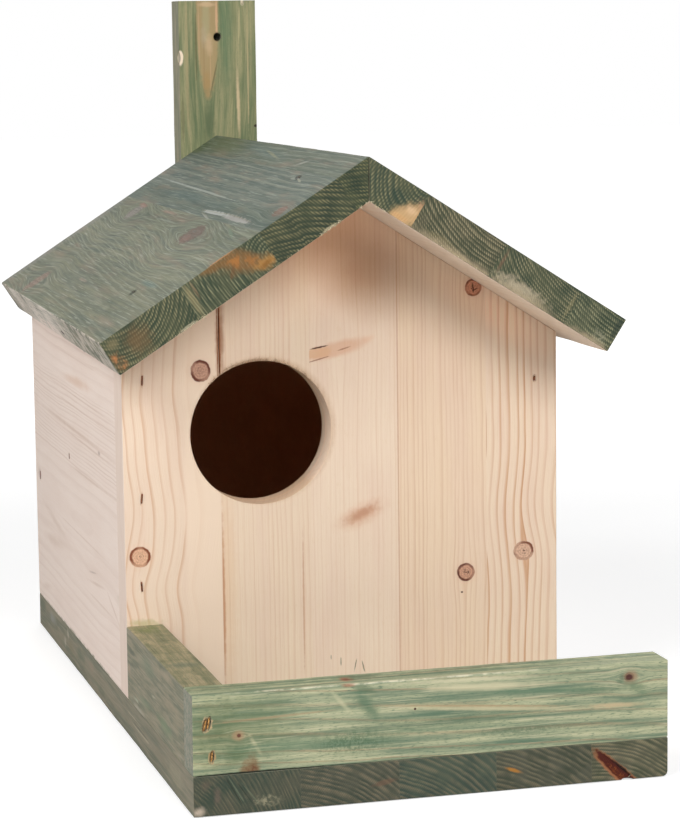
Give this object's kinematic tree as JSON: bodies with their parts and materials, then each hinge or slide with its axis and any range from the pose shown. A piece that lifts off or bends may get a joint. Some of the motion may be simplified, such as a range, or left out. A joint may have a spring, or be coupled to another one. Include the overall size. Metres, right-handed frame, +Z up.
{
  "type": "squirrel house",
  "caption": "Wooden nest house for squirrels: gable roof, round entrance, porch with a low rail, and a back batten with a screw hole to hang it by.",
  "frame": {"origin": "centre of the base board's underside", "axes": "+X to the right seen from the front, +Y towards the back, +Z up"},
  "size_m": [0.2568, 0.436, 0.3559],
  "materials": {
    "bare_spruce": "planed, bare",
    "green_stained_spruce": "thin green stain, matt"
  },
  "bodies": {
    "root": {"front_wall_stave_1": "bare_spruce", "front_wall_stave_2": "bare_spruce", "front_wall_stave_3": "bare_spruce", "front_wall_stave_4": "bare_spruce", "front_wall_stave_5": "bare_spruce", "back_wall_stave_1": "bare_spruce", "back_wall_stave_2": "bare_spruce", "back_wall_stave_3": "bare_spruce", "back_wall_stave_4": "bare_spruce", "back_wall_stave_5": "bare_spruce", "left_wall_stave_1": "bare_spruce", "left_wall_stave_2": "bare_spruce", "left_wall_stave_3": "bare_spruce", "left_wall_stave_4": "bare_spruce", "right_wall_stave_1": "bare_spruce", "right_wall_stave_2": "bare_spruce", "right_wall_stave_3": "bare_spruce", "right_wall_stave_4": "bare_spruce", "base_stave_1": "green_stained_spruce", "base_stave_2": "green_stained_spruce", "base_stave_3": "green_stained_spruce", "base_stave_4": "green_stained_spruce", "base_stave_5": "green_stained_spruce", "left_roof_stave_1": "green_stained_spruce", "left_roof_stave_2": "green_stained_spruce", "left_roof_stave_3": "green_stained_spruce", "left_roof_stave_4": "green_stained_spruce", "right_roof_stave_1": "green_stained_spruce", "right_roof_stave_2": "green_stained_spruce", "right_roof_stave_3": "green_stained_spruce", "right_roof_stave_4": "green_stained_spruce", "batten": "green_stained_spruce", "left_rail": "green_stained_spruce", "front_rail": "green_stained_spruce"}
  },
  "joints": []
}
